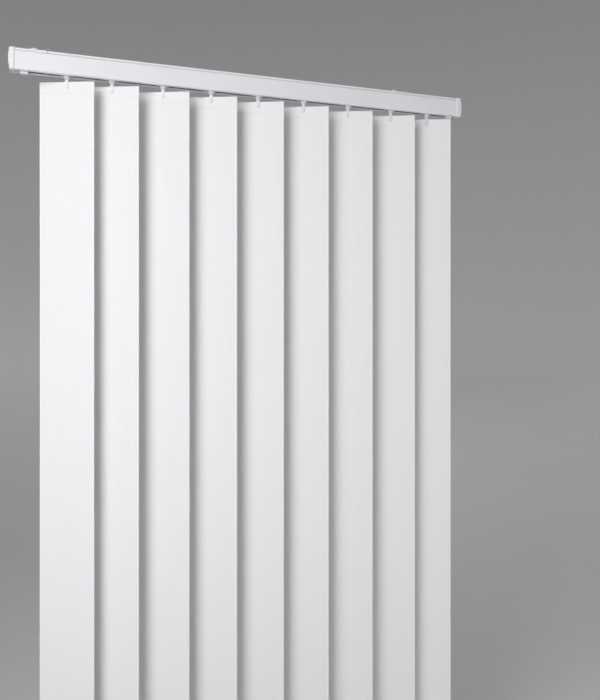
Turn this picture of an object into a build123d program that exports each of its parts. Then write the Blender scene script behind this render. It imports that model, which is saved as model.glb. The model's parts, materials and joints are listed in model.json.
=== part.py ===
from build123d import *
from math import cos, pi, sin
import os

# Vertical blind for a ceiling: X runs along the rail, -Y faces the room and Z = 0 is the ceiling.
# The origin is on the ceiling, midway between the two bracket screws. Lengths are millimetres.

# Rail and its place along the screws
bracket_span = 623.0
left_overhang = 27.8
right_overhang = 125.9
rail_height = 34.0
rail_depth = 21.0
rail_wall = 1.4
lip_thickness = 1.6
slot_width = 8.6
rail_lower_radius = 2.8
rail_upper_radius = 0.7
bead_height = 3.1
groove_height = 2.0
groove_depth = 0.9

# Ceiling brackets
bracket_height = 4.0
riser_length = 9.0
riser_inset = 5.0
clip_lead = 1.5
clip_length = 14.3
clip_thickness = 0.8
clip_gap = 0.25
tab_length = 2.2
tab_height = 1.4
screw_radius = 2.2

# End caps
collar_thickness = 4.2
collar_proud = 1.1
collar_bevel_depth = 0.9
collar_bevel_length = 2.0
cap_thickness = 8.4
cap_proud = 0.4
bulge_height = 27.0
bulge_rise = 1.4
plug_length = 18.8
foot_inset = 7.1
foot_drop = 3.4
notch_length = 2.6
notch_height = 6.0
socket_depth = 8.0

# Slats
slat_width = 89.0
slat_length = 1250.0
slat_gap = 8.4
slat_pitch = 82.78
gap_shares = (0.85, 1.0, 0.98, 1.0, 1.0, 1.015, 1.015, 0.89)
last_stem_inset = 57.45
slat_angle = 20.0
cloth_thickness = 0.4
top_pocket = 17.0
hem_pocket = 32.0
seam_height = 3.0
window_margin = 0.5

# Hangers and bottom weights
plate_thickness = 0.8
hanger_height = 16.0
hanger_overhang = 0.4
plate_corner = 1.5
weight_width = 86.0
weight_height = 30.0

# Hooks
collar_radius = 5.8
collar_height = 5.2
collar_rim = 1.6
stem_radius = 2.2
wheel_radius = 3.0
wheel_height = 5.0
wheel_teeth = 12
tooth_depth = 0.5
leg_width = 5.2
leg_thickness = 1.0
leg_overlap = 11.4
head_gap = 0.6
peg_width = 3.6
peg_height = 2.2
peg_drop = 6.0

# Tilt rod and worms, and the flats round the worms, the bores, the collars and the legs' tips
rod_across = 3.0
worm_radius = 2.4
journal_radius = 2.0
flat_count = 12

# Carriers and their spacer strips
carrier_length = 20.0
carrier_floor = 3.8
carrier_wall = 2.4
carrier_bridge = 2.0
carrier_headroom = 0.8
neck_length = 12.0
strip_width = 5.0
strip_thickness = 0.4
strip_step = 0.8
strip_levels = 5
strip_reach = 90.0
post_length = 6.0
post_width = 1.5
post_height = 1.0

# Clearances
run_fit = 0.06
loose_fit = 0.2
side_fit = 0.4
overrun = 1.0

# Levels, from the ceiling down
rail_top = -bracket_height
rail_bottom = rail_top - rail_height
rail_middle = rail_top - rail_height / 2
lip_top = rail_bottom + lip_thickness
floor_bottom = lip_top + run_fit
floor_top = floor_bottom + carrier_floor
rod_level = floor_top + worm_radius + loose_fit
bridge_bottom = rod_level + worm_radius + carrier_headroom
bridge_top = bridge_bottom + carrier_bridge
slat_top = rail_bottom - slat_gap
slat_bottom = slat_top - slat_length
peg_top = slat_top - peg_drop
peg_low = peg_top - peg_height

# Places along and across the rail
rail_left = -bracket_span / 2 - left_overhang
rail_right = bracket_span / 2 + right_overhang
inner_depth = rail_depth - 2 * rail_wall
rod_offset = wheel_radius + worm_radius + run_fit
core_half = plate_thickness / 2 + run_fit
cloth_half = core_half + cloth_thickness
stems = [rail_right - last_stem_inset]
for share in reversed(gap_shares):
    stems.insert(0, stems[0] - share * slat_pitch)


def span_box(x_range, y_range, z_range):
    """Box between two limits on each axis."""
    ranges = (x_range, y_range, z_range)
    middle = [(low + high) / 2 for low, high in ranges]
    return Pos(*middle) * Box(*[high - low for low, high in ranges])


def run_along(section, low, high):
    """Section across the rail, run along it between two places."""
    return extrude(Plane.YZ.offset(low) * section, high - low)


def rail_outline(proud):
    """The rail's outer outline, grown all round."""
    outline = Pos(0, rail_middle) * Rectangle(rail_depth + 2 * proud, rail_height + 2 * proud)
    outline = fillet(outline.vertices().group_by(Axis.Y)[0], rail_lower_radius + proud)
    return fillet(outline.vertices().group_by(Axis.Y)[-1], rail_upper_radius + proud)


def rail_hollow(fit):
    """The room inside the rail, drawn in all round by a fit."""
    ceiling = rail_top - rail_wall
    room = Rectangle(inner_depth - 2 * fit, ceiling - lip_top - 2 * fit)
    room = Pos(0, (ceiling + lip_top) / 2) * room
    return chamfer(room.vertices().group_by(Axis.Y)[0], rail_lower_radius - rail_wall)


def make_headrail():
    """Channel with a slot below and a bracket groove under the bead on both faces."""
    slot = Pos(0, lip_top - lip_thickness / 2) * Rectangle(slot_width, lip_thickness + overrun)
    groove_level = rail_top - bead_height - groove_height / 2
    section = rail_outline(0) - rail_hollow(0) - slot
    for side in (-1, 1):
        section -= Pos(side * rail_depth / 2, groove_level) * Rectangle(2 * groove_depth, groove_height)
    return run_along(section, rail_left, rail_right)


def make_end_cap():
    """Right end cap: proud collar, bowed outer face, plug with a foot through the slot and a rod socket."""
    collar = run_along(rail_outline(collar_proud), rail_right, rail_right + collar_thickness)
    rim = collar.faces().sort_by(Axis.X)[0]
    collar = chamfer(rim.edges(), collar_bevel_depth, collar_bevel_length, reference=rim)
    face = rail_right + cap_thickness
    body = run_along(rail_outline(cap_proud), rail_right, face)
    chord = Line((face, rail_middle - bulge_height / 2), (face, rail_middle + bulge_height / 2))
    bow = ThreePointArc(chord @ 0, (face + bulge_rise, rail_middle), chord @ 1)
    bulge = extrude(Plane.XZ * make_face([chord, bow]), rail_depth / 2 + cap_proud, both=True)
    plug = run_along(rail_hollow(loose_fit), rail_right - plug_length, rail_right)
    foot_half = slot_width / 2 - loose_fit
    foot = span_box(
        (rail_right - plug_length, rail_right - foot_inset),
        (-foot_half, foot_half),
        (rail_bottom - foot_drop, rail_middle),
    )
    notch = span_box(
        (rail_right - foot_inset, rail_right - foot_inset + notch_length),
        (-foot_half, foot_half),
        (rail_bottom, lip_top + notch_height),
    )
    socket_face = rail_right - plug_length
    socket = RegularPolygon(journal_radius + run_fit, flat_count, major_radius=False)
    socket = Plane.YZ.offset(socket_face) * Pos(rod_offset, rod_level) * socket
    return collar + body + bulge + plug + foot - notch - extrude(socket, socket_depth)


def make_left_cap():
    """The right cap's mirror image, moved to the rail's other end."""
    return Pos(rail_left + rail_right, 0, 0) * mirror(make_end_cap(), Plane.YZ)


def make_bracket(place):
    """Clip bracket: plate on the rail, riser to the ceiling, lips into both grooves and a release tab."""
    left = place - riser_length / 2
    riser_right = left + riser_length
    clip_left = riser_right + clip_lead
    clip_right = clip_left + clip_length
    right = clip_right + tab_length
    riser_front = riser_inset - rail_depth / 2
    inner = rail_depth / 2 + clip_gap
    outer = inner + clip_thickness
    plate_top = rail_top + clip_thickness
    lip_foot = rail_top - bead_height - groove_height + clip_gap
    nib_top = rail_top - bead_height - clip_gap
    nib_reach = rail_depth / 2 - groove_depth + clip_gap
    bracket = span_box((left, right), (riser_front, outer), (rail_top, plate_top))
    bracket += span_box((left, riser_right), (riser_front, rail_depth / 2), (plate_top, 0))
    bracket += span_box((clip_left, right), (-outer, 0), (rail_top, plate_top))
    bracket += span_box((clip_left, clip_right), (-outer, -inner), (lip_foot, plate_top))
    bracket += span_box((clip_left, clip_right), (-outer, -nib_reach), (lip_foot, nib_top))
    bracket += span_box((clip_right, right), (-outer, -inner), (rail_top, plate_top + tab_height))
    bracket += span_box((left, right), (inner, outer), (lip_foot, plate_top))
    bracket += span_box((left, right), (nib_reach, outer), (lip_foot, nib_top))
    return bracket - Pos(place, 0, 0) * Cylinder(screw_radius, 2 * bracket_height + overrun)


def make_tilt_rod():
    """Hexagonal rod from socket to socket, with round ends that turn in the caps."""
    end = plug_length - socket_depth + loose_fit
    neck = plug_length + side_fit
    hexagon = Pos(rod_offset, rod_level) * RegularPolygon(rod_across / 2, 6, major_radius=False)
    journal = Pos(rod_offset, rod_level) * Circle(journal_radius)
    rod = run_along(hexagon, rail_left + neck, rail_right - neck)
    rod += run_along(journal, rail_left + end, rail_left + neck)
    return rod + run_along(journal, rail_right - neck, rail_right - end)


def make_worm():
    """Worm sleeve between the carrier's end walls, with a hexagonal bore that slides on the rod."""
    half = carrier_length / 2 - carrier_wall - loose_fit
    bore = RegularPolygon(rod_across / 2 + run_fit, 6, major_radius=False)
    section = Pos(rod_offset, rod_level) * (RegularPolygon(worm_radius, flat_count) - bore)
    return run_along(section, -half, half)


def make_carrier(level, has_strip):
    """Open frame that runs on the lips: floor with a neck in the slot, end walls and a bridge."""
    half_length = carrier_length / 2
    half_depth = inner_depth / 2 - side_fit
    half_slot = slot_width / 2 - loose_fit
    depth = (-half_depth, half_depth)
    floor = Pos(0, (floor_bottom + floor_top) / 2) * Rectangle(2 * half_depth, carrier_floor)
    floor = chamfer(floor.vertices().group_by(Axis.Y)[0], rail_lower_radius - rail_wall)
    carrier = run_along(floor, -half_length, half_length)
    carrier += span_box((-half_length, half_length), depth, (bridge_bottom, bridge_top))
    for side in (-1, 1):
        ends = sorted((side * half_length, side * (half_length - carrier_wall)))
        carrier += span_box(ends, depth, (floor_top, bridge_bottom))
    carrier += span_box(
        (-neck_length / 2, neck_length / 2), (-half_slot, half_slot), (rail_bottom, floor_bottom)
    )
    bore = RegularPolygon(stem_radius + run_fit, flat_count, major_radius=False)
    carrier -= extrude(Pos(0, 0, rail_bottom) * bore, floor_top - rail_bottom)
    rod_hole = Pos(rod_offset, rod_level) * RegularPolygon(journal_radius, flat_count)
    carrier -= run_along(rod_hole, -carrier_length, carrier_length)
    if has_strip:
        carrier += make_strip(level)
    return carrier


def make_strip(level):
    """Spacer strip on its post, at one of the levels that let the strips pass each other."""
    strip_low = bridge_top + post_height + level * strip_step
    strip_high = strip_low + strip_thickness
    post_half = post_length / 2
    post_back = -strip_width / 2 - loose_fit
    post_front = post_back - post_width
    strip = span_box((-post_half, strip_reach), (-strip_width / 2, strip_width / 2), (strip_low, strip_high))
    strip += span_box((-post_half, post_half), (post_front, post_back), (bridge_top, strip_high))
    return strip + span_box((-post_half, post_half), (post_back, 0), (strip_low, strip_high))


def make_leg():
    """One leg of the hook's fork: a round-ended tab in the slat's plane."""
    tip = slat_top - leg_overlap + leg_width / 2
    top = rail_bottom - collar_height - loose_fit
    tab = Pos(0, (top + tip) / 2) * Rectangle(leg_width, top - tip)
    return Plane.XZ * (tab + Pos(0, tip) * RegularPolygon(leg_width / 2, flat_count))


def make_wheel():
    """Worm wheel with plain pointed teeth."""
    corners = []
    for step in range(2 * wheel_teeth):
        radius = wheel_radius - tooth_depth * (step % 2)
        turn = pi * step / wheel_teeth
        corners.append((radius * cos(turn), radius * sin(turn)))
    outline = make_face(Polyline(*corners, close=True))
    return extrude(Pos(0, 0, floor_top) * outline, wheel_height)


def make_collar(low):
    """Flared collar that covers the carrier's bore from below."""
    flare = (collar_radius - stem_radius - run_fit) * cos(pi / flat_count)
    disc = extrude(Pos(0, 0, low) * RegularPolygon(collar_radius, flat_count), collar_height)
    underside = disc.faces().sort_by(Axis.Z)[0]
    return chamfer(underside.edges(), flare, collar_height - collar_rim, reference=underside)


def make_hook():
    """Hook: worm wheel, stem, flared collar and a fork whose peg goes through the hanger."""
    collar_top = rail_bottom - loose_fit
    collar_low = collar_top - collar_height
    head_low = slat_top + head_gap
    fork_in = cloth_half + run_fit
    fork_out = fork_in + leg_thickness
    stem_low = collar_low + collar_height / 2
    stem = extrude(Pos(0, 0, stem_low) * Circle(stem_radius), floor_top - stem_low)
    hook = make_wheel() + stem + make_collar(collar_low)
    hook += span_box((-leg_width / 2, leg_width / 2), (-fork_out, fork_out), (head_low, collar_low))
    leg = extrude(make_leg(), leg_thickness)
    hook += Pos(0, -fork_in, 0) * leg
    hook += Pos(0, fork_out, 0) * leg
    return hook + span_box((-peg_width / 2, peg_width / 2), (-fork_in, fork_in), (peg_low, peg_top))


def make_window(margin, top):
    """Window for the hook's peg, with a margin at its sides and below."""
    half_width = peg_width / 2 + margin
    return span_box((-half_width, half_width), (-leg_width, leg_width), (peg_low - margin, top))


def make_slat():
    """Cloth with a pocket folded to the back at the top and at the bottom, and a hole for the peg."""
    pocket_low = slat_top - top_pocket
    hem_high = slat_bottom + hem_pocket
    outline = Polyline(
        (-cloth_half, slat_bottom),
        (-cloth_half, slat_top),
        (cloth_half, slat_top),
        (cloth_half, pocket_low),
        (-core_half, pocket_low - seam_height),
        (-core_half, hem_high + seam_height),
        (cloth_half, hem_high),
        (cloth_half, slat_bottom),
        close=True,
    )
    taper = seam_height * 2 * core_half / (core_half + cloth_half)
    top_room = Polyline(
        (-core_half, slat_top - cloth_thickness),
        (core_half, slat_top - cloth_thickness),
        (core_half, pocket_low),
        (-core_half, pocket_low - taper),
        close=True,
    )
    hem_room = Polyline(
        (-core_half, slat_bottom + cloth_thickness),
        (core_half, slat_bottom + cloth_thickness),
        (core_half, hem_high),
        (-core_half, hem_high + taper),
        close=True,
    )
    section = make_face(outline)
    section = chamfer(section.vertices().group_by(Axis.Y)[-1], cloth_thickness / 2)
    section = chamfer(section.vertices().group_by(Axis.Y)[0], cloth_thickness / 2)
    section = section - make_face(top_room) - make_face(hem_room)
    slat = run_along(section, -slat_width / 2, slat_width / 2)
    return slat - make_window(window_margin, peg_top + window_margin)


def make_plate(width, height, low):
    """Flat plate with cut corners in the middle of a pocket."""
    outline = Pos(0, low + height / 2) * Rectangle(width, height)
    outline = chamfer(outline.vertices(), plate_corner)
    return extrude(Plane.XZ * outline, plate_thickness / 2, both=True)


def make_hanger():
    """Hanger in the top pocket, whose window rests on the hook's peg."""
    high = slat_top - cloth_thickness
    hanger = make_plate(slat_width + 2 * hanger_overhang, hanger_height, high - hanger_height)
    return hanger - make_window(loose_fit, peg_top)


def make_weight():
    """Weight that lies in the bottom pocket."""
    return make_plate(weight_width, weight_height, slat_bottom + cloth_thickness)


parts = {
    "headrail": make_headrail(),
    "end_cap_left": make_left_cap(),
    "end_cap_right": make_end_cap(),
    "ceiling_brackets": make_bracket(-bracket_span / 2) + make_bracket(bracket_span / 2),
    "tilt_rod": make_tilt_rod(),
}
hung = {"hook": make_hook(), "slat": make_slat(), "hanger": make_hanger(), "weight": make_weight()}
worm = make_worm()
for number, stem in enumerate(stems, start=1):
    place = Pos(stem, 0, 0)
    parts[f"carrier_{number}"] = place * make_carrier(number % strip_levels, number < len(stems))
    parts[f"worm_{number}"] = place * worm
    for name, piece in hung.items():
        parts[f"{name}_{number}"] = place * Rot(0, 0, -slat_angle) * piece

os.makedirs("parts", exist_ok=True)
for name, piece in parts.items():
    export_step(piece, f"parts/{name}.step")
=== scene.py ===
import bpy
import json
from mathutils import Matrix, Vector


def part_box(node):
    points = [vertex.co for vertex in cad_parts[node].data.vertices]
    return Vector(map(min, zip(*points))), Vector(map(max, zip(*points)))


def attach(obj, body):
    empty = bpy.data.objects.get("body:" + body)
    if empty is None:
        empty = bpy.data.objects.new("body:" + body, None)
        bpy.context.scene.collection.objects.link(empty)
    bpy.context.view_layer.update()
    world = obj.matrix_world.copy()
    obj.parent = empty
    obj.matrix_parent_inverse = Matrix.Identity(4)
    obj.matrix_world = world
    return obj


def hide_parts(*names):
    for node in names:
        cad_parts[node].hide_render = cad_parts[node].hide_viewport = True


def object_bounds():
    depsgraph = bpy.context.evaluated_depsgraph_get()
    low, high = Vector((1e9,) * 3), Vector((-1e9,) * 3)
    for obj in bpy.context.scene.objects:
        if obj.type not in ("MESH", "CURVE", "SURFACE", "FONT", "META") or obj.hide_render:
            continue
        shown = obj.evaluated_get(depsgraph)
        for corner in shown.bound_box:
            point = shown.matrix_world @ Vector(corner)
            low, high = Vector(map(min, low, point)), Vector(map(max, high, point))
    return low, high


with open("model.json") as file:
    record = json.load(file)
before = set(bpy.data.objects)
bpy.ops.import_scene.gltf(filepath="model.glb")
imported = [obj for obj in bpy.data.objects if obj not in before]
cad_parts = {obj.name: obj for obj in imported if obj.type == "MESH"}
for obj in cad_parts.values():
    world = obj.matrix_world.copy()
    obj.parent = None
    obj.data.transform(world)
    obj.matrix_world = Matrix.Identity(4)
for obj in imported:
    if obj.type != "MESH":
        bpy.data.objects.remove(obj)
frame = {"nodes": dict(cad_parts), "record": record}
cad_box = [list(corner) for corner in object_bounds()]

import json
import math

import bmesh
import bpy
from mathutils import Matrix, Vector

bl_info = {
    "name": "Vertical blind",
    "version": (1, 0, 0),
    "blender": (4, 5, 0),
    "location": "View3D > Sidebar > Blind",
    "description": "Dresses a ceiling-hung vertical blind: cloth slats, hooks, finishes and a studio",
    "category": "Object",
}

# Stems that the slats turn about, left to right, read from the frame's own joints
STEMS = [
    Vector(joint["pos_m"])
    for joint in frame["record"]["behaviour"]["joints"]
    if joint["name"].startswith("slat_")
]

# The cloth's hole and the hook's peg: half width, and lower and upper side below the slat's top, in metres
HOLE_HALF, HOLE_LOW, HOLE_HIGH = 0.0023, 0.0087, 0.0055
PEG_HALF, PEG_LOW, PEG_HIGH = 0.0018, 0.0082, 0.006
# The collar hangs clear of the rail, the fork's head clears the slat and its legs reach up into the head
COLLAR_GAP, HEAD_GAP, LEG_JOIN = 0.0002, 0.0006, 0.0008
# Heights and thicknesses of the rail and the bracket's clip, and a hair that takes a mask past a face
RAIL_WALL, RAIL_LIP, BEAD, GROOVE = 0.0014, 0.0016, 0.0031, 0.0020
CLIP_PLATE, HAIR = 0.0008, 0.00005

# A wave texture at a scale of 1 turns through this many radians in a metre
WAVE_RADIANS = 20
# Range that most of a noise texture fills
NOISE_LOW, NOISE_HIGH = 0.3, 0.7


# Shared helpers


def linear(code):
    """Linear colour of an sRGB hex code, opaque."""
    parts = [int(code[at:at + 2], 16) / 255 for at in (1, 3, 5)]
    return [p / 12.92 if p <= 0.04045 else ((p + 0.055) / 1.055) ** 2.4 for p in parts] + [1.0]


def shown(colour):
    """Hex default of a colour property as the linear triple that the property keeps."""
    return linear(colour)[:3]


def node(tree, kind, inputs=(), **settings):
    """Adds a node, sets its properties and fills its sockets with values or with other nodes' outputs."""
    made = tree.nodes.new(kind)
    for name, value in settings.items():
        setattr(made, name, value)
    for key, value in dict(inputs).items():
        socket = made.inputs[key]
        if isinstance(value, bpy.types.NodeSocket):
            tree.links.new(value, socket)
        else:
            socket.default_value = value
    return made


def new_material(name):
    """Empty material with its shader and output, and the tree to draw its pattern in."""
    material = bpy.data.materials.new(name)
    material.use_nodes = True
    tree = material.node_tree
    tree.nodes.clear()
    shader = node(tree, "ShaderNodeBsdfPrincipled")
    node(tree, "ShaderNodeOutputMaterial", {"Surface": shader.outputs["BSDF"]})
    return material, tree, shader


def spread(tree, pattern, low, high):
    """Value that follows a noise pattern from a low to a high end."""
    return node(
        tree, "ShaderNodeMapRange",
        {"Value": pattern.outputs["Fac"], "From Min": NOISE_LOW, "From Max": NOISE_HIGH, "To Min": low,
         "To Max": high},
    )


def shaded(tree, pattern, colour, least):
    """Colour that a noise pattern darkens here and there, down to a least share of it."""
    tint = spread(tree, pattern, least, 1.0)
    return node(
        tree, "ShaderNodeMix",
        {"Factor": tint.outputs["Result"], "A": linear("#000000"), "B": [*colour, 1.0]}, data_type="RGBA",
    )


def surface(tree, shader, tone, rough, bump):
    """Joins colour, roughness and relief to a material's shader."""
    tree.links.new(tone.outputs["Result"], shader.inputs["Base Color"])
    tree.links.new(rough.outputs["Result"], shader.inputs["Roughness"])
    tree.links.new(bump.outputs["Normal"], shader.inputs["Normal"])


def per_metre(millimetres):
    """Texture scale that repeats once in a real size."""
    return 1000.0 / millimetres


def dress(material, *kinds):
    """Gives a finished material to every CAD node of the named kinds."""
    dressed = 0
    for name in frame["nodes"]:
        stem = name.rstrip("0123456789").rstrip("_")
        if stem in kinds or name in kinds:
            piece = bpy.data.objects[name]
            piece.data.materials.clear()
            piece.data.materials.append(material)
            dressed += 1
    if not dressed:
        raise RuntimeError(f"no node is one of {', '.join(kinds)}")


def finish_mesh(mesh_edit, name, material, crease):
    """Turns a bmesh into a smooth-shaded object whose edges past an angle stay sharp."""
    for face in mesh_edit.faces:
        face.smooth = True
    for edge in mesh_edit.edges:
        edge.smooth = len(edge.link_faces) == 2 and edge.calc_face_angle(0.0) < crease
    mesh = bpy.data.meshes.new(name)
    mesh_edit.to_mesh(mesh)
    mesh_edit.free()
    mesh.materials.append(material)
    piece = bpy.data.objects.new(name, mesh)
    bpy.context.scene.collection.objects.link(piece)
    return piece


def at_slat(stem, angle):
    """Place of a hanging piece: turned about its stem, with its heights as drawn."""
    return Matrix.Translation((stem.x, stem.y, 0.0)) @ Matrix.Rotation(-angle, 4, "Z")


# Settings that a user would change


class BlindClothSettings(bpy.types.PropertyGroup):
    """Sizes and colours of the cloth slats."""

    width: bpy.props.FloatProperty(
        name="Slat width", description="Width of the cut cloth", default=0.089, unit="LENGTH"
    )
    thickness: bpy.props.FloatProperty(
        name="Cloth thickness", description="Thickness of the stiffened cloth", default=0.0004, unit="LENGTH"
    )
    core: bpy.props.FloatProperty(
        name="Pocket half depth", description="From the slat's middle to the cloth's inner face",
        default=0.00046, unit="LENGTH",
    )
    top_pocket: bpy.props.FloatProperty(
        name="Top pocket", description="Height of the pocket that holds the hanger",
        default=0.017, unit="LENGTH",
    )
    hem_pocket: bpy.props.FloatProperty(
        name="Hem pocket", description="Height of the pocket that holds the weight",
        default=0.032, unit="LENGTH",
    )
    seam: bpy.props.FloatProperty(
        name="Seam height", description="Height of each welded seam", default=0.003, unit="LENGTH"
    )
    bow: bpy.props.FloatProperty(
        name="Bow", description="How far the cloth bows across its width between its pockets",
        default=0.0007, unit="LENGTH",
    )
    angle: bpy.props.FloatProperty(
        name="Slat angle", description="Turn of every slat from the rail's line",
        default=math.radians(20.0), subtype="ANGLE",
    )
    colour: bpy.props.FloatVectorProperty(
        name="Cloth", description="Colour of the woven cloth", default=shown("#F5F5F7"), subtype="COLOR"
    )
    thread_colour: bpy.props.FloatVectorProperty(
        name="Thread shade", description="Colour between the threads",
        default=shown("#EBEBED"), subtype="COLOR",
    )
    weld_colour: bpy.props.FloatVectorProperty(
        name="Weld", description="Colour of the pressed welds", default=shown("#E4E4E7"), subtype="COLOR"
    )
    # Colour of the sealed edges, a little lighter than the weave: partly the smooth seal, partly a painted
    # highlight
    seal_highlight_colour: bpy.props.FloatVectorProperty(
        name="Seal", description="Colour of the sealed edges", default=shown("#F5F5F7"), subtype="COLOR"
    )


class BlindHookSettings(bpy.types.PropertyGroup):
    """Sizes of the moulded hooks."""

    collar: bpy.props.FloatProperty(
        name="Collar radius", description="Radius of the flared collar under the slot",
        default=0.0058, unit="LENGTH",
    )
    collar_height: bpy.props.FloatProperty(
        name="Collar height", description="Height of the flared collar", default=0.0052, unit="LENGTH"
    )
    collar_rim: bpy.props.FloatProperty(
        name="Collar rim", description="Height of the collar's straight rim", default=0.0016, unit="LENGTH"
    )
    stem: bpy.props.FloatProperty(
        name="Stem radius", description="Radius of the stem in the carrier", default=0.0022, unit="LENGTH"
    )
    wheel: bpy.props.FloatProperty(
        name="Wheel radius", description="Radius over the wheel's teeth", default=0.003, unit="LENGTH"
    )
    tooth: bpy.props.FloatProperty(
        name="Tooth depth", description="Depth of the wheel's teeth", default=0.0005, unit="LENGTH"
    )
    teeth: bpy.props.IntProperty(name="Teeth", description="Number of teeth on the wheel", default=12)
    wheel_height: bpy.props.FloatProperty(
        name="Wheel height", description="Height of the toothed wheel", default=0.005, unit="LENGTH"
    )
    leg_width: bpy.props.FloatProperty(
        name="Leg width", description="Width of the fork's legs", default=0.0052, unit="LENGTH"
    )
    leg_thickness: bpy.props.FloatProperty(
        name="Leg thickness", description="Thickness of the fork's legs", default=0.001, unit="LENGTH"
    )
    fork_gap: bpy.props.FloatProperty(
        name="Fork gap", description="From the slat's middle to a leg's inner face",
        default=0.00092, unit="LENGTH",
    )
    softening: bpy.props.FloatProperty(
        name="Edge radius", description="Radius on the moulded edges", default=0.00018, unit="LENGTH"
    )


class BlindFinishSettings(bpy.types.PropertyGroup):
    """Colours of the rail, the mouldings and the metal inside."""

    rail: bpy.props.FloatVectorProperty(
        name="Rail coating", description="Powder coat of the rail", default=shown("#F0EFF4"), subtype="COLOR"
    )
    bracket: bpy.props.FloatVectorProperty(
        name="Bracket coating", description="Coat of the ceiling brackets",
        default=shown("#E8E7EC"), subtype="COLOR",
    )
    # Colour of the rail's hollow: partly the bare metal, partly painted shade that darkens the slot
    bare_rail_and_shade: bpy.props.FloatVectorProperty(
        name="Bare rail", description="Metal of the rail's hollow", default=shown("#808183"), subtype="COLOR"
    )
    # Painted shade: the dark line drawn on the edges of the clip's top plate
    clip_shade: bpy.props.FloatVectorProperty(
        name="Bare steel", description="Sheared edges of the brackets",
        default=shown("#4C4D50"), subtype="COLOR",
    )
    moulding: bpy.props.FloatVectorProperty(
        name="Mouldings", description="Plastic of the caps and hangers",
        default=shown("#EFEFF1"), subtype="COLOR",
    )
    hook: bpy.props.FloatVectorProperty(
        name="Hooks", description="Plastic of the hooks", default=shown("#E2E2E5"), subtype="COLOR"
    )
    runner: bpy.props.FloatVectorProperty(
        name="Runners", description="Plastic of the carriers and worms",
        default=shown("#B4B4B6"), subtype="COLOR",
    )
    rod: bpy.props.FloatVectorProperty(
        name="Rod", description="Drawn aluminium of the tilt rod", default=shown("#C4C6C8"), subtype="COLOR"
    )
    weight: bpy.props.FloatVectorProperty(
        name="Weights", description="Coat of the steel weights", default=shown("#E2E2E0"), subtype="COLOR"
    )


class BlindStageSettings(bpy.types.PropertyGroup):
    """Camera, light and backdrop."""

    lens: bpy.props.FloatProperty(
        name="Lens", description="Focal length for a sensor 36 mm along the picture's height",
        default=37.03, unit="CAMERA",
    )
    camera_place: bpy.props.FloatVectorProperty(
        name="Camera place", description="Where the camera stands",
        default=(-0.2447, -1.2205, -0.4787), subtype="TRANSLATION",
    )
    camera_turn: bpy.props.FloatProperty(
        name="Camera turn", description="How far the level camera turns to the right",
        default=math.radians(17.14), subtype="ANGLE",
    )
    key_power: bpy.props.FloatProperty(
        name="Key power", description="Power of the tall soft lamp at the left", default=11.5, unit="POWER"
    )
    key_place: bpy.props.FloatVectorProperty(
        name="Key place", description="Middle of the tall soft lamp", default=(-0.77, -0.91, -0.47),
        subtype="TRANSLATION",
    )
    key_aim: bpy.props.FloatVectorProperty(
        name="Key aim", description="Where the tall soft lamp points", default=(1.20, -0.55, -0.80),
        subtype="TRANSLATION",
    )
    key_width: bpy.props.FloatProperty(
        name="Key width", description="Width of the tall soft lamp", default=1.0, unit="LENGTH"
    )
    key_height: bpy.props.FloatProperty(
        name="Key height", description="Height of the tall soft lamp", default=1.45, unit="LENGTH"
    )
    high_power: bpy.props.FloatProperty(
        name="High power", description="Power of the lamp high at the left", default=9.5, unit="POWER"
    )
    high_place: bpy.props.FloatVectorProperty(
        name="High place", description="Middle of the lamp high at the left", default=(-1.0, -1.2, 0.65),
        subtype="TRANSLATION",
    )
    high_size: bpy.props.FloatProperty(
        name="High size", description="Side of the lamp high at the left", default=0.7, unit="LENGTH"
    )
    side_power: bpy.props.FloatProperty(
        name="Side power", description="Power of the weak lamp at the right", default=11.0, unit="POWER"
    )
    side_place: bpy.props.FloatVectorProperty(
        name="Side place", description="Middle of the weak lamp at the right", default=(1.3, -1.6, -0.95),
        subtype="TRANSLATION",
    )
    rear_power: bpy.props.FloatProperty(
        name="Rear power", description="Power of the soft lamp behind", default=14.0, unit="POWER"
    )
    rear_place: bpy.props.FloatVectorProperty(
        name="Rear place", description="Middle of the soft lamp behind", default=(1.5, 2.2, 0.9),
        subtype="TRANSLATION",
    )
    lamp_size: bpy.props.FloatProperty(
        name="Lamp size", description="Side of the lamps at the right and behind", default=1.4, unit="LENGTH"
    )
    fill: bpy.props.FloatProperty(
        name="Fill", description="Strength of the even light from all round", default=0.18
    )
    backdrop: bpy.props.FloatVectorProperty(
        name="Backdrop", description="Paper of the floor and the backdrop",
        default=shown("#D9D8D9"), subtype="COLOR",
    )
    pool: bpy.props.FloatProperty(
        name="Pool", description="Strength of the pool of light that shows on the backdrop", default=0.22
    )
    floor_level: bpy.props.FloatProperty(
        name="Floor", description="Height of the floor under the slats", default=-1.335, unit="LENGTH"
    )


# Materials


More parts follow.
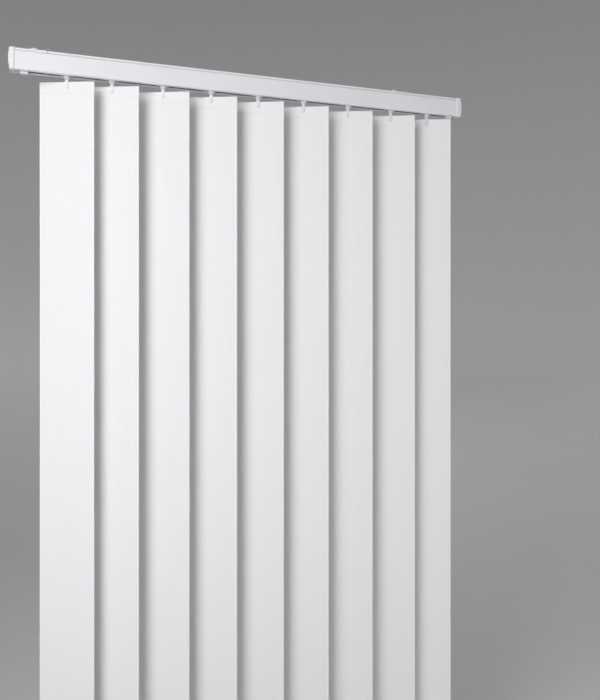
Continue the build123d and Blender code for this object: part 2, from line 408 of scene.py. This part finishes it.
def woven_polyester(cloth):
    """Stiffened plain-woven polyester: threads over and under, uneven yarn, dotted welds at both pockets."""
    # Matt cloth with a faint grid of threads, a soft sheen at grazing angles and sealed edges, drawn without
    # threads and a little lighter than the weave as a painted highlight.
    # The real threads are 0.4 mm apart, which is too fine to show, so the weave is drawn at 2 mm, and
    # thick and thin yarn shows as faint streaks down the slat, about 4 mm wide and 65 mm long.
    # Spacings are in millimetres, and the presses and the seal are in metres, as the cloth's flat map is.
    thread_spacing, yarn_spacing, yarn_stretch = 2.0, 4.0, 0.06
    press_pitch, press_length, press_half = 0.003, 0.002, 0.0005
    seal_highlight_width = 0.0015
    material, tree, shader = new_material("woven_polyester_stiffened")
    place = node(tree, "ShaderNodeTexCoord")
    weave = []
    for direction in ("X", "Y"):
        weave.append(node(
            tree, "ShaderNodeTexWave",
            {"Vector": place.outputs["UV"], "Scale": per_metre(thread_spacing) / WAVE_RADIANS * math.tau,
             "Distortion": 0.6, "Detail": 1.0, "Detail Scale": 2.0},
            wave_type="BANDS", bands_direction=direction,
        ))
    threads = node(
        tree, "ShaderNodeMath", {0: weave[0].outputs["Fac"], 1: weave[1].outputs["Fac"]},
        operation="MULTIPLY",
    )
    stretch = node(
        tree, "ShaderNodeMapping", {"Vector": place.outputs["UV"], "Scale": (1.0, yarn_stretch, 1.0)},
        vector_type="POINT",
    )
    yarn = node(
        tree, "ShaderNodeTexNoise",
        {"Vector": stretch.outputs["Vector"], "Scale": per_metre(yarn_spacing), "Detail": 2.0,
         "Roughness": 0.6},
    )
    height = node(
        tree, "ShaderNodeMath", {0: yarn.outputs["Fac"], 1: 0.5, 2: threads.outputs["Value"]},
        operation="MULTIPLY_ADD",
    )
    shade = node(
        tree, "ShaderNodeMapRange",
        {"Value": height.outputs["Value"], "From Min": 0.0, "From Max": 1.1, "To Min": 0.0, "To Max": 1.0},
    )
    tone = node(
        tree, "ShaderNodeMix",
        {"Factor": shade.outputs["Result"], "A": [*cloth.thread_colour, 1.0], "B": [*cloth.colour, 1.0]},
        data_type="RGBA",
    )
    # The welds: rows of short presses, 2 mm long with gaps of 1 mm, along the pockets' seams
    parts = node(tree, "ShaderNodeSeparateXYZ", {"Vector": place.outputs["UV"]})
    dash = node(
        tree, "ShaderNodeMath", {0: parts.outputs["X"], 1: press_pitch}, operation="FLOORED_MODULO"
    )
    dash = node(tree, "ShaderNodeMath", {0: dash.outputs["Value"], 1: press_length}, operation="LESS_THAN")
    rows = []
    for level in (cloth.top_pocket + cloth.seam / 2, slat_length() - cloth.hem_pocket - cloth.seam / 2):
        rows.append(node(
            tree, "ShaderNodeMath", {0: parts.outputs["Y"], 1: -level, 2: press_half}, operation="COMPARE"
        ))
    row = node(
        tree, "ShaderNodeMath", {0: rows[0].outputs["Value"], 1: rows[1].outputs["Value"]}, operation="ADD"
    )
    weld = node(
        tree, "ShaderNodeMath", {0: row.outputs["Value"], 1: dash.outputs["Value"]}, operation="MULTIPLY"
    )
    pressed = node(
        tree, "ShaderNodeMix",
        {"Factor": weld.outputs["Value"], "A": tone.outputs["Result"], "B": [*cloth.weld_colour, 1.0]},
        data_type="RGBA",
    )
    # The cut edges are sealed by heat: a smooth line 1.5 mm wide down both sides, with no threads in it, and
    # lighter than the weave around it as a painted highlight where the edges catch the light
    sides = []
    for side in (0.0, cloth.width):
        sides.append(node(
            tree, "ShaderNodeMath", {0: parts.outputs["X"], 1: side, 2: seal_highlight_width}, operation="COMPARE"
        ))
    seal_highlight = node(
        tree, "ShaderNodeMath", {0: sides[0].outputs["Value"], 1: sides[1].outputs["Value"]}, operation="ADD"
    )
    sealed = node(
        tree, "ShaderNodeMix",
        {"Factor": seal_highlight.outputs["Value"], "A": pressed.outputs["Result"], "B": [*cloth.seal_highlight_colour, 1.0]},
        data_type="RGBA",
    )
    relief = node(
        tree, "ShaderNodeMath", {0: weld.outputs["Value"], 1: -0.8, 2: height.outputs["Value"]},
        operation="MULTIPLY_ADD",
    )
    bump = node(
        tree, "ShaderNodeBump", {"Height": relief.outputs["Value"], "Strength": 0.25, "Distance": 0.00012}
    )
    rough = node(
        tree, "ShaderNodeMapRange",
        {"Value": height.outputs["Value"], "From Min": 0.0, "From Max": 1.1, "To Min": 0.9, "To Max": 0.78},
    )
    surface(tree, shader, sealed, rough, bump)
    shader.inputs["IOR"].default_value = 1.45
    shader.inputs["Specular IOR Level"].default_value = 0.3
    shader.inputs["Sheen Weight"].default_value = 0.08
    shader.inputs["Sheen Roughness"].default_value = 0.5
    return material


def powder_coat(name, colour, grit, roughness, bare_and_shade=(0.0, 0.0, 0.0), shaded_recesses=()):
    """Powder coat baked on metal: a satin film with a fine orange peel, darkened in the recesses by bare
    metal and painted shade.
    """
    # Even satin white; the peel breaks up the highlight along the bead and the lower edge. Real
    # peel is about 0.8 mm across, drawn at the grit given so that it shows. In each recess the coat
    # is mixed towards a second colour: in a groove this is painted shade, a grey line where shade
    # falls under the bead; in the rail's hollow it is partly bare metal and partly painted shade; on
    # the edges of the clip's top plate it is a painted dark line of shade. Each recess is its half
    # depth, low and high level and share of the second colour. The film's own thickness varies over about 60
    # mm.
    film_width = 60.0
    material, tree, shader = new_material(name)
    place = node(tree, "ShaderNodeTexCoord")
    peel = node(
        tree, "ShaderNodeTexNoise",
        {"Vector": place.outputs["Object"], "Scale": per_metre(grit), "Detail": 2.0, "Roughness": 0.5},
    )
    film = node(
        tree, "ShaderNodeTexNoise",
        {"Vector": place.outputs["Object"], "Scale": per_metre(film_width), "Detail": 3.0, "Roughness": 0.55},
    )
    tone = shaded(tree, film, colour, 0.965)
    rough = spread(tree, peel, roughness - 0.05, roughness + 0.06)
    for half_depth, low, high, share in shaded_recesses:
        parts = node(tree, "ShaderNodeSeparateXYZ", {"Vector": place.outputs["Object"]})
        depth = node(
            tree, "ShaderNodeMath", {0: parts.outputs["Y"], 1: 0.0, 2: half_depth}, operation="COMPARE"
        )
        height = node(
            tree, "ShaderNodeMath", {0: parts.outputs["Z"], 1: (low + high) / 2, 2: (high - low) / 2},
            operation="COMPARE",
        )
        inside = node(
            tree, "ShaderNodeMath", {0: depth.outputs["Value"], 1: height.outputs["Value"]},
            operation="MULTIPLY",
        )
        # Share of the second colour here: bare metal and painted shade in the recesses
        bare_and_shade_share = node(
            tree, "ShaderNodeMath", {0: inside.outputs["Value"], 1: share}, operation="MULTIPLY"
        )
        tone = node(
            tree, "ShaderNodeMix",
            {"Factor": bare_and_shade_share.outputs["Value"], "A": tone.outputs["Result"], "B": [*bare_and_shade, 1.0]},
            data_type="RGBA",
        )
    bump = node(
        tree, "ShaderNodeBump", {"Height": peel.outputs["Fac"], "Strength": 0.12, "Distance": 0.0001}
    )
    surface(tree, shader, tone, rough, bump)
    shader.inputs["IOR"].default_value = 1.5
    return material


def moulded_plastic(name, colour, roughness):
    """Moulded plastic from a spark-eroded tool: fine even grain and slight flow marks."""
    # Satin with soft highlights; the grain keeps broad faces from looking glassy. The real grain is
    # 0.1 mm across, drawn at 0.6 mm so that it shows, and the flow marks are about 14 mm across.
    grain_width, flow_width = 0.6, 14.0
    material, tree, shader = new_material(name)
    place = node(tree, "ShaderNodeTexCoord")
    grain = node(
        tree, "ShaderNodeTexNoise",
        {"Vector": place.outputs["Object"], "Scale": per_metre(grain_width), "Detail": 2.0, "Roughness": 0.6},
    )
    flow = node(
        tree, "ShaderNodeTexNoise",
        {"Vector": place.outputs["Object"], "Scale": per_metre(flow_width), "Detail": 2.0, "Distortion": 0.8},
    )
    tone = shaded(tree, flow, colour, 0.955)
    rough = spread(tree, grain, roughness - 0.06, roughness + 0.06)
    bump = node(
        tree, "ShaderNodeBump", {"Height": grain.outputs["Fac"], "Strength": 0.1, "Distance": 0.00005}
    )
    surface(tree, shader, tone, rough, bump)
    shader.inputs["IOR"].default_value = 1.49
    return material


def drawn_aluminium(colour):
    """Aluminium drawn through a die: bright, with fine lines along the rod."""
    # A bright rod with streaks along it, 0.5 mm apart and about 25 mm long.
    streak_width, streak_stretch = 0.5, 0.02
    material, tree, shader = new_material("drawn_aluminium_rod")
    place = node(tree, "ShaderNodeTexCoord")
    stretch = node(
        tree, "ShaderNodeMapping", {"Vector": place.outputs["Object"], "Scale": (streak_stretch, 1.0, 1.0)},
        vector_type="POINT",
    )
    lines = node(
        tree, "ShaderNodeTexNoise",
        {"Vector": stretch.outputs["Vector"], "Scale": per_metre(streak_width), "Detail": 3.0,
         "Roughness": 0.6},
    )
    tone = shaded(tree, lines, colour, 0.88)
    rough = spread(tree, lines, 0.28, 0.45)
    bump = node(
        tree, "ShaderNodeBump", {"Height": lines.outputs["Fac"], "Strength": 0.15, "Distance": 0.00005}
    )
    surface(tree, shader, tone, rough, bump)
    shader.inputs["Metallic"].default_value = 1.0
    return material


def backdrop_paper(colour, strength):
    """Matt backdrop paper: an even pale grey with a faint fibre mottle and a soft pool of light on it."""
    # The fibres are far finer than the picture shows, so the mottle is drawn 90 mm wide. The pool is
    # brightest low on the wall, and only what looks at the paper sees it, so it doesn't light the blind.
    # It grows from the floor up to its full level, and fades between the two levels above that.
    mottle_width = 90.0
    floor, full, fading, faded = -1.34, -0.6, -0.4, 2.4
    material, tree, shader = new_material("backdrop_paper_matt")
    place = node(tree, "ShaderNodeTexCoord")
    mottle = node(
        tree, "ShaderNodeTexNoise",
        {"Vector": place.outputs["Object"], "Scale": per_metre(mottle_width), "Detail": 3.0,
         "Roughness": 0.5},
    )
    tone = shaded(tree, mottle, colour, 0.985)
    level = node(tree, "ShaderNodeSeparateXYZ", {"Vector": place.outputs["Object"]})
    rise = node(
        tree, "ShaderNodeMapRange",
        {"Value": level.outputs["Z"], "From Min": floor, "From Max": full, "To Min": 0.35, "To Max": 1.0},
    )
    fade = node(
        tree, "ShaderNodeMapRange",
        {"Value": level.outputs["Z"], "From Min": fading, "From Max": faded, "To Min": 1.0, "To Max": 0.45},
    )
    pool = node(
        tree, "ShaderNodeMath", {0: rise.outputs["Result"], 1: fade.outputs["Result"]}, operation="MULTIPLY"
    )
    ray = node(tree, "ShaderNodeLightPath")
    seen = node(
        tree, "ShaderNodeMath", {0: ray.outputs["Is Camera Ray"], 1: ray.outputs["Is Glossy Ray"]},
        operation="ADD",
    )
    seen = node(
        tree, "ShaderNodeMath", {0: seen.outputs["Value"], 1: ray.outputs["Is Transmission Ray"]},
        operation="ADD",
    )
    glow = node(
        tree, "ShaderNodeMath", {0: pool.outputs["Value"], 1: seen.outputs["Value"]}, operation="MULTIPLY"
    )
    glow = node(tree, "ShaderNodeMath", {0: glow.outputs["Value"], 1: strength}, operation="MULTIPLY")
    tree.links.new(tone.outputs["Result"], shader.inputs["Base Color"])
    tree.links.new(tone.outputs["Result"], shader.inputs["Emission Color"])
    tree.links.new(glow.outputs["Value"], shader.inputs["Emission Strength"])
    shader.inputs["Roughness"].default_value = 0.95
    shader.inputs["Specular IOR Level"].default_value = 0.1
    return material


# Shapes


def slat_length():
    """Finished length of a slat, read from the frame."""
    low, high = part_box("slat_1")
    return high[2] - low[2]


def cloth_profile(cloth, low, high):
    """Side view of the cloth's outer face: hem weld, hem, front, top fold, pocket and its weld."""
    outer = cloth.core + cloth.thickness
    tuck = cloth.thickness - cloth.core
    hem = low + cloth.hem_pocket
    pocket = high - cloth.top_pocket
    return [
        (tuck, hem + cloth.seam),
        (outer, hem),
        (outer, low),
        (-outer, low),
        (-outer, high),
        (outer, high),
        (outer, pocket),
        (tuck, pocket - cloth.seam),
    ]


def fall(height, low, high, reach):
    """Share of the bow at a height: none in the pockets, all of it past a reach from each."""
    near = max(0.0, min(1.0, min(height - low, high - height) / reach))
    return near ** 2 * (3 - 2 * near)


def make_cloth(cloth, number, stem, material):
    """One slat's cloth: a folded sheet with a hole for the hook's peg, bowed a little, with thickness."""
    columns, rows, touching = 8, 24, 1e-6
    fold_share, fold_angle, crease = 1.8, math.radians(60), math.radians(50)
    # The bow sets in over a reach from each pocket, and a slow sway makes no two slats quite the same
    bow_reach, bow_middle = 0.25, 0.4
    sway_turn, sway_step, sway_share = 7.0, 1.9, 0.35
    corner_low, corner_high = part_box(f"slat_{number}")
    low, high = corner_low[2], corner_high[2]
    half = cloth.width / 2
    sheet = bmesh.new()
    row = [sheet.verts.new((-half, y, z)) for y, z in cloth_profile(cloth, low, high)]
    line = [sheet.edges.new(pair) for pair in zip(row, row[1:])]
    swept = bmesh.ops.extrude_edge_only(sheet, edges=line)
    moved = [part for part in swept["geom"] if isinstance(part, bmesh.types.BMVert)]
    bmesh.ops.translate(sheet, verts=moved, vec=(cloth.width, 0.0, 0.0))
    folds = [
        edge for edge in sheet.edges
        if len(edge.link_faces) == 2 and edge.calc_face_angle(0.0) > fold_angle
    ]
    bmesh.ops.bevel(
        sheet, geom=folds, offset=cloth.thickness * fold_share, segments=4, profile=0.5, affect="EDGES",
        material=-1,
    )
    # Cuts across and along, so that the sheet can bow, and on the outline of the peg's hole
    hole_low, hole_high = high - HOLE_LOW, high - HOLE_HIGH
    along, up = (1, 0, 0), (0, 0, 1)
    cuts = [((count / columns - 0.5) * cloth.width, along) for count in range(1, columns)]
    cuts += [(-HOLE_HALF, along), (HOLE_HALF, along), (hole_low, up), (hole_high, up)]
    cuts += [(low + count / rows * (high - low), up) for count in range(1, rows)]
    for level, axis in cuts:
        bmesh.ops.bisect_plane(
            sheet, geom=sheet.verts[:] + sheet.edges[:] + sheet.faces[:], dist=touching,
            plane_co=Vector(axis) * level, plane_no=axis,
        )
    hole = [
        face for face in sheet.faces
        if abs(face.calc_center_median().x) < HOLE_HALF
        and hole_low < face.calc_center_median().z < hole_high
    ]
    bmesh.ops.delete(sheet, geom=hole, context="FACES")
    pocket, hem = high - cloth.top_pocket - cloth.seam, low + cloth.hem_pocket + cloth.seam
    for vertex in sheet.verts:
        share = fall(vertex.co.z, hem, pocket, bow_reach)
        across = vertex.co.x / half
        sway = math.sin(vertex.co.z * sway_turn + number * sway_step) * sway_share
        vertex.co.y += share * cloth.bow * (across ** 2 - bow_middle + sway * across)
    sheet.normal_update()
    bmesh.ops.solidify(sheet, geom=sheet.faces[:], thickness=cloth.thickness)
    sheet.normal_update()
    flat = sheet.loops.layers.uv.new("cloth")
    for face in sheet.faces:
        for loop in face.loops:
            loop[flat].uv = (loop.vert.co.x + half, loop.vert.co.z - high)
    bmesh.ops.transform(sheet, matrix=at_slat(stem, cloth.angle), verts=sheet.verts)
    piece = finish_mesh(sheet, f"cloth_{number}", material, crease)
    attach(piece, f"hook_{number}")
    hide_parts(f"slat_{number}")


def add_block(mesh_edit, low, high):
    """Adds a plain block between two corners, and gives back its edges."""
    size = Vector(high) - Vector(low)
    middle = (Vector(high) + Vector(low)) / 2
    place = Matrix.Translation(middle) @ Matrix.Diagonal((*size, 1.0))
    made = bmesh.ops.create_cube(mesh_edit, size=1.0, matrix=place)
    return list({edge for vertex in made["verts"] for edge in vertex.link_edges})


def soften(mesh_edit, edges, radius):
    """Rounds a moulding's edges by a small radius."""
    bmesh.ops.bevel(
        mesh_edit, geom=edges, offset=radius, segments=2, profile=0.5, affect="EDGES", material=-1
    )


def make_hook(look, number, stem, angle, material):
    """One hook: toothed wheel and turned stem with a flared collar, and a fork with a peg across it."""
    turned_steps, merging = 32, 1e-7
    tip_share, touching, crease = 0.96, 1e-6, math.radians(40)
    wheel_top, leg_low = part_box(f"hook_{number}")[1][2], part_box(f"hook_{number}")[0][2]
    slat_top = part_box(f"slat_{number}")[1][2]
    collar_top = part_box("headrail")[0][2] - COLLAR_GAP
    collar_low = collar_top - look.collar_height
    wheel_low = wheel_top - look.wheel_height
    hook = bmesh.new()
    rim = look.collar - look.softening
    outline = [
        (0.0, wheel_low + look.softening),
        (look.stem, wheel_low + look.softening),
        (look.stem, collar_top),
        (rim, collar_top),
        (look.collar, collar_top - look.softening),
        (look.collar, collar_top - look.collar_rim),
        (look.stem + look.softening, collar_low),
        (0.0, collar_low),
    ]
    row = [hook.verts.new((x, 0.0, z)) for x, z in outline]
    line = [hook.edges.new(pair) for pair in zip(row, row[1:])]
    bmesh.ops.spin(
        hook, geom=row + line, cent=(0, 0, 0), axis=(0, 0, 1), angle=math.tau, steps=turned_steps,
        use_merge=True,
    )
    bmesh.ops.remove_doubles(hook, verts=hook.verts, dist=merging)
    wheel = bmesh.ops.create_circle(
        hook, cap_ends=True, segments=2 * look.teeth, radius=look.wheel,
        matrix=Matrix.Translation((0, 0, wheel_low)),
    )
    for count, vertex in enumerate(wheel["verts"]):
        if count % 2:
            vertex.co.xy *= 1 - look.tooth / look.wheel
    disc = list({face for vertex in wheel["verts"] for face in vertex.link_faces})
    grown = bmesh.ops.extrude_face_region(hook, geom=disc, use_keep_orig=True)
    raised = [part for part in grown["geom"] if isinstance(part, bmesh.types.BMVert)]
    bmesh.ops.translate(hook, verts=raised, vec=(0.0, 0.0, look.wheel_height))
    half, inner, outer = look.leg_width / 2, look.fork_gap, look.fork_gap + look.leg_thickness
    head = add_block(hook, (-half, -outer, slat_top + HEAD_GAP), (half, outer, collar_low))
    soften(hook, head, look.softening)
    for front, back in ((-outer, -inner), (inner, outer)):
        leg = add_block(hook, (-half, front, leg_low), (half, back, slat_top + LEG_JOIN))
        corners = [
            edge for edge in leg
            if all(abs(vertex.co.z - leg_low) < touching for vertex in edge.verts)
            and abs(edge.verts[0].co.x - edge.verts[1].co.x) < touching
        ]
        others = [edge for edge in leg if edge not in corners]
        rounded = bmesh.ops.bevel(
            hook, geom=corners, offset=half * tip_share, segments=8, profile=0.5, affect="EDGES", material=-1
        )
        rims = {
            edge for face in rounded["faces"] for edge in face.edges
            if edge.is_valid and abs(edge.verts[0].co.y - edge.verts[1].co.y) < touching
        }
        rims |= {edge for edge in others if edge.is_valid and edge.calc_face_angle(0.0) > crease}
        soften(hook, list(rims), look.softening)
    peg = add_block(
        hook, (-PEG_HALF, -inner, slat_top - PEG_LOW), (PEG_HALF, inner, slat_top - PEG_HIGH)
    )
    soften(hook, peg, look.softening)
    bmesh.ops.recalc_face_normals(hook, faces=hook.faces)
    bmesh.ops.transform(hook, matrix=at_slat(stem, angle), verts=hook.verts)
    piece = finish_mesh(hook, f"hook_moulding_{number}", material, crease)
    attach(piece, f"hook_{number}")
    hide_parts(f"hook_{number}")


def make_backdrop(level, material):
    """Round floor that rises into a wall on every side, so that no view meets an edge."""
    flat, rise, top, steps = 1.9, 2.6, 5.5, 12
    turned_steps, merging, crease = 96, 1e-6, math.radians(60)
    bowl = bmesh.new()
    outline = [(0.0, level), (flat, level)]
    for step in range(1, steps + 1):
        turn = math.radians(90 * step / steps)
        outline.append((flat + rise * math.sin(turn), level + rise * (1 - math.cos(turn))))
    outline.append((flat + rise, level + top))
    row = [bowl.verts.new((x, 0.0, z)) for x, z in outline]
    line = [bowl.edges.new(pair) for pair in zip(row, row[1:])]
    bmesh.ops.spin(
        bowl, geom=row + line, cent=(0, 0, 0), axis=(0, 0, 1), angle=math.tau, steps=turned_steps,
        use_merge=True,
    )
    bmesh.ops.remove_doubles(bowl, verts=bowl.verts, dist=merging)
    bmesh.ops.recalc_face_normals(bowl, faces=bowl.faces)
    if sum(face.normal.z for face in bowl.faces) < 0:
        bmesh.ops.reverse_faces(bowl, faces=bowl.faces)
    return finish_mesh(bowl, "backdrop", material, crease)


def soft_lamp(scene, name, power, place, aim):
    """Adds a flat lamp that points at a place, and gives back its data."""
    lamp = bpy.data.lights.new(name, "AREA")
    lamp.energy = power
    holder = bpy.data.objects.new(name, lamp)
    holder.location = place
    holder.rotation_euler = (Vector(aim) - holder.location).to_track_quat("-Z", "Y").to_euler()
    holder.visible_camera = False
    scene.collection.objects.link(holder)
    return lamp


# Operators


class BLIND_OT_slats(bpy.types.Operator):
    """Make the nine cloth slats with their pockets and welds"""

    bl_idname = "blind.slats"
    bl_label = "Cloth slats"

    def execute(self, context):
        cloth = context.scene.blind_cloth
        material = woven_polyester(cloth)
        for number, stem in enumerate(STEMS, start=1):
            make_cloth(cloth, number, stem, material)
        return {"FINISHED"}


class BLIND_OT_hooks(bpy.types.Operator):
    """Make the nine moulded hooks with rounded edges"""

    bl_idname = "blind.hooks"
    bl_label = "Moulded hooks"

    def execute(self, context):
        scene = context.scene
        material = moulded_plastic("acetal_moulded_hooks", scene.blind_finish.hook, roughness=0.38)
        dress(material, "hook")
        for number, stem in enumerate(STEMS, start=1):
            make_hook(scene.blind_hook, number, stem, scene.blind_cloth.angle, material)
        return {"FINISHED"}


class BLIND_OT_rail(bpy.types.Operator):
    """Coat the rail and its ceiling brackets"""

    bl_idname = "blind.rail"
    bl_label = "Rail and brackets"

    def execute(self, context):
        finish = context.scene.blind_finish
        full_share, groove_shade_share = 1.0, 0.25
        low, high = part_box("headrail")
        half_depth, bottom, top = high[1], low[2], high[2]
        # The hollow, a hair past the faces of its walls, top and lips, drawn as bare metal and painted
        # shade, and the grooves under the beads, darkened a little as painted shade
        hollow = (half_depth - RAIL_WALL + HAIR, bottom + RAIL_LIP - HAIR, top - RAIL_WALL + HAIR, full_share)
        painted_groove_shade = (half_depth - HAIR, top - BEAD - GROOVE - HAIR, top - BEAD + HAIR, groove_shade_share)
        coat = powder_coat(
            "powder_coated_aluminium_rail", finish.rail, grit=1.2, roughness=0.42,
            bare_and_shade=finish.bare_rail_and_shade, shaded_recesses=(painted_groove_shade, hollow),
        )
        dress(coat, "headrail")
        # Painted shade on the edges of the clip's top plate: a dark line where shade falls between the clip
        # and the rail's top
        clip_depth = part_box("ceiling_brackets")[1][1]
        edges = (clip_depth + HAIR, top - HAIR, top + CLIP_PLATE - HAIR, full_share)
        coat = powder_coat(
            "coated_spring_steel_bracket", finish.bracket, grit=0.9, roughness=0.36,
            bare_and_shade=finish.clip_shade, shaded_recesses=(edges,),
        )
        dress(coat, "ceiling_brackets")
        return {"FINISHED"}


class BLIND_OT_mouldings(bpy.types.Operator):
    """Finish the plastic caps, hangers, carriers and worms"""

    bl_idname = "blind.mouldings"
    bl_label = "Plastic mouldings"

    def execute(self, context):
        finish = context.scene.blind_finish
        caps = moulded_plastic("abs_moulded_caps", finish.moulding, roughness=0.42)
        dress(caps, "end_cap_left", "end_cap_right")
        dress(moulded_plastic("polyester_sheet_hangers", finish.moulding, roughness=0.5), "hanger")
        dress(moulded_plastic("acetal_moulded_runners", finish.runner, roughness=0.4), "carrier", "worm")
        return {"FINISHED"}


class BLIND_OT_metal(bpy.types.Operator):
    """Finish the tilt rod and the weights in the hems"""

    bl_idname = "blind.metal"
    bl_label = "Rod and weights"

    def execute(self, context):
        finish = context.scene.blind_finish
        dress(drawn_aluminium(finish.rod), "tilt_rod")
        dress(powder_coat("coated_steel_weight", finish.weight, grit=1.0, roughness=0.4), "weight")
        return {"FINISHED"}


class BLIND_OT_stage(bpy.types.Operator):
    """Make the floor and backdrop, the light and the camera"""

    bl_idname = "blind.stage"
    bl_label = "Studio stage"

    def execute(self, context):
        scene = context.scene
        stage = scene.blind_stage
        sensor, level = 36.0, math.radians(90)
        backdrop = make_backdrop(stage.floor_level, backdrop_paper(stage.backdrop, stage.pool))
        # The backdrop shows the blind's shadow, but lets the even light through from all round
        backdrop.visible_diffuse = False
        backdrop.visible_shadow = False

        key = soft_lamp(scene, "key", stage.key_power, stage.key_place, stage.key_aim)
        key.shape = "RECTANGLE"
        key.size = stage.key_width
        key.size_y = stage.key_height
        middle = (Vector(cad_box[0]) + Vector(cad_box[1])) / 2
        for name, power, place, size in (
            ("high", stage.high_power, stage.high_place, stage.high_size),
            ("side", stage.side_power, stage.side_place, stage.lamp_size),
            ("rear", stage.rear_power, stage.rear_place, stage.lamp_size),
        ):
            soft_lamp(scene, name, power, place, middle).size = size

        world = bpy.data.worlds.new("studio")
        world.use_nodes = True
        tree = world.node_tree
        tree.nodes.clear()
        light = node(tree, "ShaderNodeBackground", {"Color": linear("#FFFFFF"), "Strength": stage.fill})
        node(tree, "ShaderNodeOutputWorld", {"Surface": light.outputs["Background"]})
        scene.world = world

        lens = bpy.data.cameras.new("camera")
        lens.lens = stage.lens
        lens.sensor_width = sensor
        camera = bpy.data.objects.new("camera", lens)
        camera.location = stage.camera_place
        camera.rotation_euler = (level, 0.0, -stage.camera_turn)
        scene.collection.objects.link(camera)
        scene.camera = camera
        scene.view_settings.view_transform = "Standard"
        return {"FINISHED"}


class BLIND_PT_panel(bpy.types.Panel):
    """Settings and steps of the blind"""

    bl_idname = "BLIND_PT_panel"
    bl_label = "Vertical blind"
    bl_space_type = "VIEW_3D"
    bl_region_type = "UI"
    bl_category = "Blind"

    def draw(self, context):
        steps = [one for one in CLASSES if issubclass(one, bpy.types.Operator)]
        for step in steps:
            self.layout.operator(step.bl_idname)
        for group in SETTINGS:
            settings = getattr(context.scene, group)
            box = self.layout.box()
            for name in settings.__annotations__:
                box.prop(settings, name)


# Each group of settings, by the name that the scene keeps it under
SETTINGS = {
    "blind_cloth": BlindClothSettings,
    "blind_hook": BlindHookSettings,
    "blind_finish": BlindFinishSettings,
    "blind_stage": BlindStageSettings,
}

CLASSES = (
    *SETTINGS.values(),
    BLIND_OT_slats,
    BLIND_OT_hooks,
    BLIND_OT_rail,
    BLIND_OT_mouldings,
    BLIND_OT_metal,
    BLIND_OT_stage,
    BLIND_PT_panel,
)


def register():
    """Adds the classes, and the settings to every scene."""
    for one in CLASSES:
        bpy.utils.register_class(one)
    for name, group in SETTINGS.items():
        setattr(bpy.types.Scene, name, bpy.props.PointerProperty(type=group))


def unregister():
    """Takes the settings and the classes away again."""
    for name in reversed(SETTINGS):
        delattr(bpy.types.Scene, name)
    for one in reversed(CLASSES):
        bpy.utils.unregister_class(one)


def main():
    """Builds the blind's looks and its stage."""
    register()
    bpy.ops.blind.slats()
    bpy.ops.blind.hooks()
    bpy.ops.blind.rail()
    bpy.ops.blind.mouldings()
    bpy.ops.blind.metal()
    bpy.ops.blind.stage()


if __name__ == "__main__":
    main()
